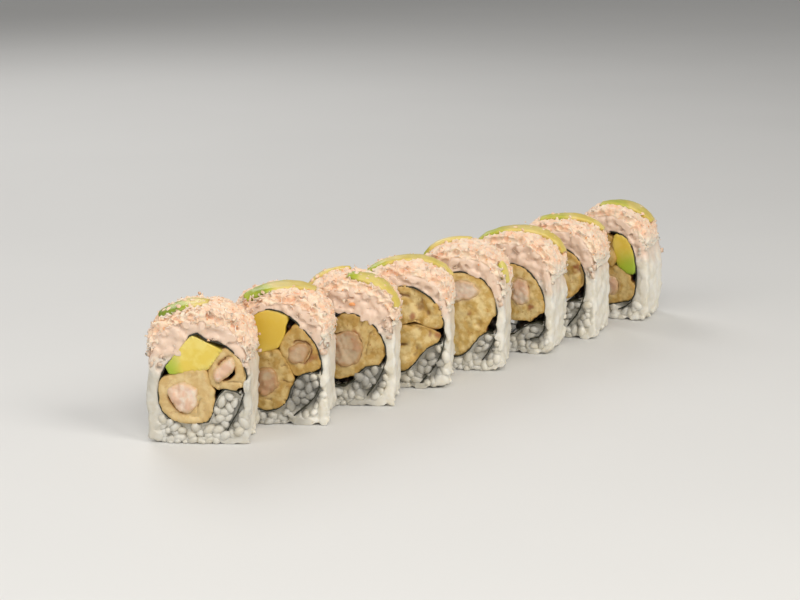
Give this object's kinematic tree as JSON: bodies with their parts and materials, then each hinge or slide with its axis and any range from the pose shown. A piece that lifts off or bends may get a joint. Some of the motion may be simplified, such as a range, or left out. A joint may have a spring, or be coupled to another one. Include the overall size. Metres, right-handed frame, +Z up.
{
  "type": "sliced uramaki roll",
  "caption": "Uramaki sushi roll cut into upright slices standing in a row: rice round nori with prawn tempura and avocado inside, crab salad and avocado on top.",
  "frame": {"origin": "middle of the row's footprint, at the level of the surface it stands on", "axes": "+X along the row from the first slice to the last, +Z up"},
  "size_m": [0.2704, 0.0486, 0.0471],
  "materials": {
    "rice": "moist sushi rice, off-white grains with a soft gloss",
    "nori": "black-green seaweed sheet, slightly wrinkled",
    "crab": "pale pink crab salad of fine shreds with orange flecks",
    "avocado": "smooth moist avocado, yellow turning green towards the skin side",
    "topping_avocado": "thin glossy avocado slice with a darker green edge",
    "tempura": "craggy golden tempura batter",
    "prawn": "cooked prawn meat, pinkish white with orange marks"
  },
  "bodies": {
    "root": {"slice1_avocado": "avocado", "slice1_crab": "crab", "slice1_nori": "nori", "slice1_prawn_left": "prawn", "slice1_prawn_right": "prawn", "slice1_rice": "rice", "slice1_tempura_left": "tempura", "slice1_tempura_right": "tempura", "slice1_topping_avocado": "topping_avocado", "slice2_avocado": "avocado", "slice2_crab": "crab", "slice2_nori": "nori", "slice2_prawn_left": "prawn", "slice2_prawn_right": "prawn", "slice2_rice": "rice", "slice2_tempura_left": "tempura", "slice2_tempura_right": "tempura", "slice2_topping_avocado": "topping_avocado", "slice3_crab": "crab", "slice3_nori": "nori", "slice3_prawn": "prawn", "slice3_rice": "rice", "slice3_tempura": "tempura", "slice3_topping_avocado_1": "topping_avocado", "slice3_topping_avocado_2": "topping_avocado", "slice4_crab": "crab", "slice4_nori": "nori", "slice4_rice": "rice", "slice4_tempura_lower": "tempura", "slice4_tempura_upper": "tempura", "slice4_topping_avocado": "topping_avocado", "slice5_crab": "crab", "slice5_nori": "nori", "slice5_prawn": "prawn", "slice5_rice": "rice", "slice5_tempura": "tempura", "slice5_topping_avocado_1": "topping_avocado", "slice5_topping_avocado_2": "topping_avocado", "slice6_crab": "crab", "slice6_nori": "nori", "slice6_prawn": "prawn", "slice6_rice": "rice", "slice6_tempura": "tempura", "slice6_topping_avocado": "topping_avocado", "slice7_crab": "crab", "slice7_nori": "nori", "slice7_rice": "rice", "slice7_tempura": "tempura", "slice7_topping_avocado": "topping_avocado", "slice8_avocado": "avocado", "slice8_crab": "crab", "slice8_nori": "nori", "slice8_prawn_lower": "prawn", "slice8_rice": "rice", "slice8_tempura_lower": "tempura", "slice8_tempura_upper": "tempura", "slice8_topping_avocado": "topping_avocado"}
  },
  "joints": []
}
